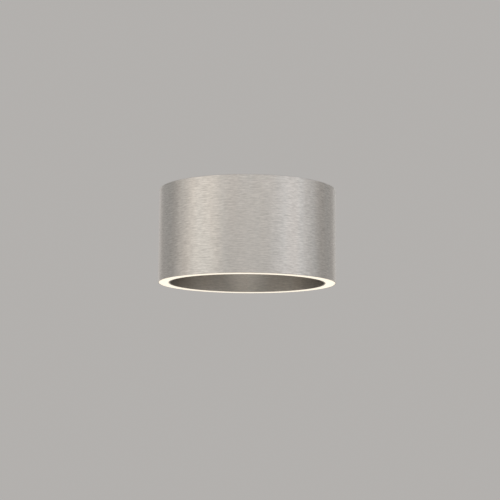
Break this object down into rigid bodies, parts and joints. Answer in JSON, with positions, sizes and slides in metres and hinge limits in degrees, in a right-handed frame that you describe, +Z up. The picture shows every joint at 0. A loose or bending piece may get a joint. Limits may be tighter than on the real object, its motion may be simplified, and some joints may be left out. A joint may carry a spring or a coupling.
{
  "type": "tube wall light",
  "caption": "Up and down wall light: a short brushed metal tube with an open bore and a lit ring at each end, carried by a box on a wall bracket.",
  "frame": {"origin": "on the wall plane, level with the middle of the tube's height and centred left to right", "axes": "+Z up, +Y into the wall (out of the back of the bracket), +X to the right seen from the front"},
  "size_m": [0.152, 0.208, 0.0804],
  "materials": {
    "brushed_sleeve": "brushed round the tube, warm nickel tone",
    "brushed_box": "brushed along the box, warm nickel tone",
    "opal_lens": "opal acrylic, lit from behind",
    "raw_aluminium": "turned or milled, bare",
    "board_white": "white solder mask on an aluminium core",
    "led_yellow": "phosphor",
    "zinc_screw": "zinc plated",
    "dark_screw": "nickel plated",
    "solder": "bright",
    "red_insulation": "smooth PVC",
    "black_insulation": "smooth PVC",
    "brown_insulation": "smooth PVC",
    "blue_insulation": "smooth PVC",
    "green_yellow_insulation": "smooth PVC, two colours",
    "nylon": "moulded",
    "case_white": "fine moulded grain",
    "circuit_green": "solder mask",
    "ferrite": "sintered",
    "copper_wire": "enamelled copper",
    "black_epoxy": "moulded",
    "capacitor_sleeve": "shrink sleeve",
    "galvanised": "galvanised sheet",
    "soft_grey": "moulded",
    "terminal_grey": "moulded",
    "contact_metal": "tinned brass",
    "button_brown": "moulded",
    "button_blue": "moulded",
    "button_green": "moulded",
    "lug_tin": "tinned"
  },
  "bodies": {
    "fixture": {"outer_sleeve": "brushed_sleeve", "inner_sleeve": "brushed_sleeve", "core_ring": "raw_aluminium", "core_set_screws": "zinc_screw", "led_board_upper": "board_white", "led_board_lower": "board_white", "leds_upper": "led_yellow", "leds_lower": "led_yellow", "board_screws": "zinc_screw", "solder_joints": "solder", "diffuser_upper": "opal_lens", "diffuser_lower": "opal_lens", "lead_positive": "red_insulation", "lead_negative": "black_insulation", "link_lead": "red_insulation", "saddle_plate": "raw_aluminium", "saddle_screws": "zinc_screw", "wire_bush": "nylon", "wall_box": "brushed_box", "box_screws": "dark_screw", "lock_screws": "dark_screw", "driver_case": "case_white", "driver_lid": "case_white", "driver_board": "circuit_green", "driver_transformer": "ferrite", "driver_windings": "copper_wire", "driver_capacitors": "capacitor_sleeve", "driver_choke": "ferrite", "driver_parts": "black_epoxy", "driver_screws": "zinc_screw", "wall_bracket": "galvanised", "entry_bush": "soft_grey", "terminal_block": "terminal_grey", "terminal_base": "terminal_grey", "terminal_clamps": "contact_metal", "terminal_screws": "zinc_screw", "line_lead": "brown_insulation", "neutral_lead": "blue_insulation", "earth_lead": "green_yellow_insulation", "earth_lug": "lug_tin", "earth_screw": "zinc_screw"},
    "button_line": {"release_button_line": "button_brown"},
    "button_neutral": {"release_button_neutral": "button_blue"},
    "button_earth": {"release_button_earth": "button_green"}
  },
  "joints": [
    {"name": "press_line", "type": "slide", "parent": "fixture", "child": "button_line", "axis": [0, 1, 0], "range_m": [0, 0.0015], "stiffness_N_per_m": 2000},
    {"name": "press_neutral", "type": "slide", "parent": "fixture", "child": "button_neutral", "axis": [0, 1, 0], "range_m": [0, 0.0015], "stiffness_N_per_m": 2000},
    {"name": "press_earth", "type": "slide", "parent": "fixture", "child": "button_earth", "axis": [0, 1, 0], "range_m": [0, 0.0015], "stiffness_N_per_m": 2000}
  ]
}
